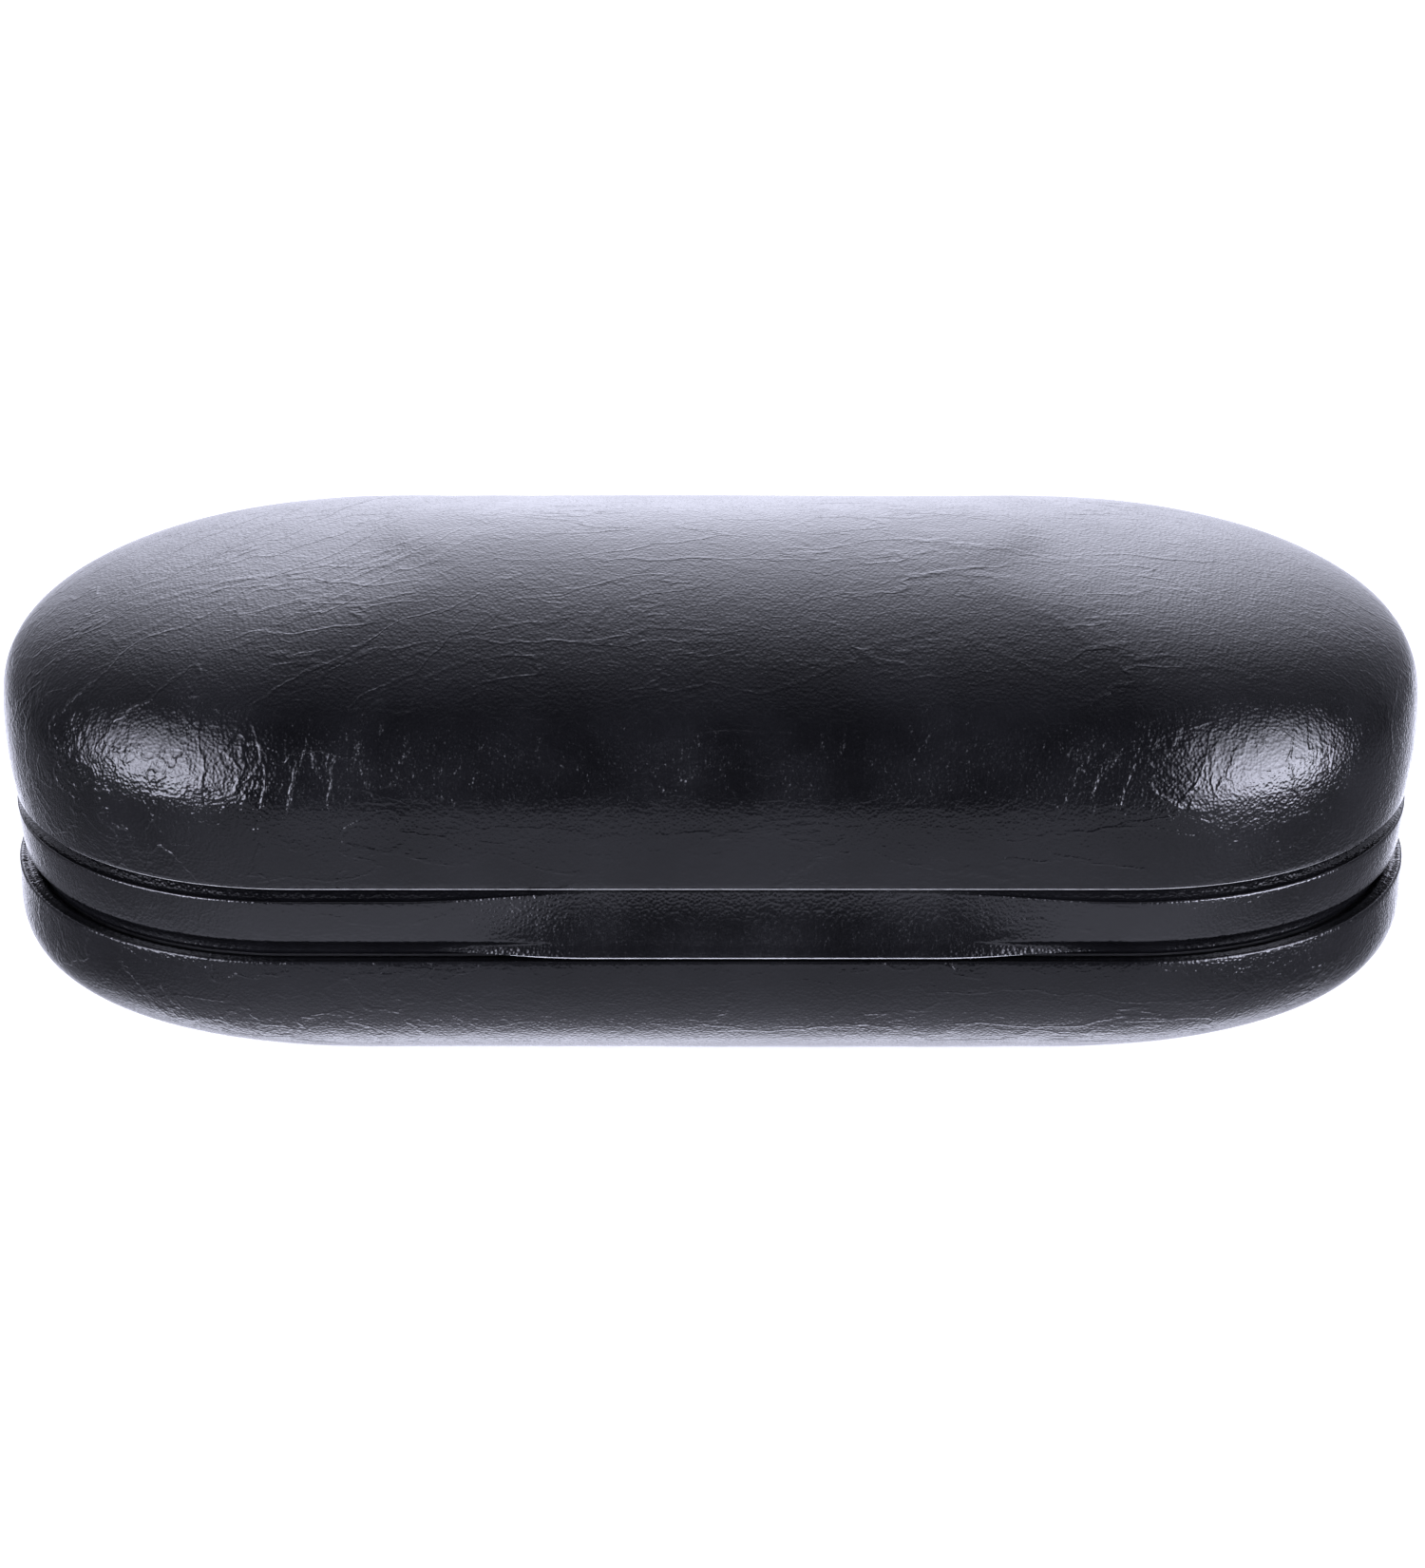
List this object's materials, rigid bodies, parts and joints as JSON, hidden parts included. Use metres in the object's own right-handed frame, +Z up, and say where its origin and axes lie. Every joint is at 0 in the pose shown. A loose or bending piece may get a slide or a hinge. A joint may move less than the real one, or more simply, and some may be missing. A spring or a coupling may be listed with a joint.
{
  "type": "eyeglasses case",
  "caption": "Hard clamshell eyeglasses case with a domed lid, collared base, leatherette skin, flocked lining and snap hinge.",
  "frame": {"origin": "middle of the flat underside, on the surface the case rests on", "axes": "+X along the case, to the right when facing the thumb scoop; +Y towards the hinge; +Z up"},
  "size_m": [0.1676, 0.0708, 0.06],
  "materials": {
    "leatherette": "black semi-gloss leatherette with fine grain and soft creases",
    "flock": "short black velour flock",
    "pressed_steel": "bare cold-rolled sheet",
    "moulded_plastic": "black moulded ABS",
    "hinge_steel": "nickel-plated spring steel"
  },
  "bodies": {
    "base": {"base_cover": "leatherette", "base_shell": "pressed_steel", "base_lining": "flock", "collar_frame": "moulded_plastic", "collar_cover": "leatherette", "hinge_leaf_base": "hinge_steel", "hinge_pin": "hinge_steel", "snap_spring_left": "hinge_steel", "snap_spring_right": "hinge_steel", "hinge_strip_outer": "leatherette", "hinge_strip_inner": "flock", "base_rivet_1": "hinge_steel", "base_rivet_2": "hinge_steel", "base_rivet_3": "hinge_steel", "base_rivet_4": "hinge_steel"},
    "lid": {"lid_cover": "leatherette", "lid_shell": "pressed_steel", "lid_lining": "flock", "hinge_leaf_lid": "hinge_steel", "lid_rivet_1": "hinge_steel", "lid_rivet_2": "hinge_steel", "lid_rivet_3": "hinge_steel", "lid_rivet_4": "hinge_steel"}
  },
  "joints": [
    {"name": "lid_hinge", "type": "hinge", "parent": "base", "child": "lid", "pos_m": [0, 0.0333, 0.0282], "axis": [-1, 0, 0], "range_deg": [0, 100], "deforming": ["hinge_strip_outer", "hinge_strip_inner"]}
  ]
}
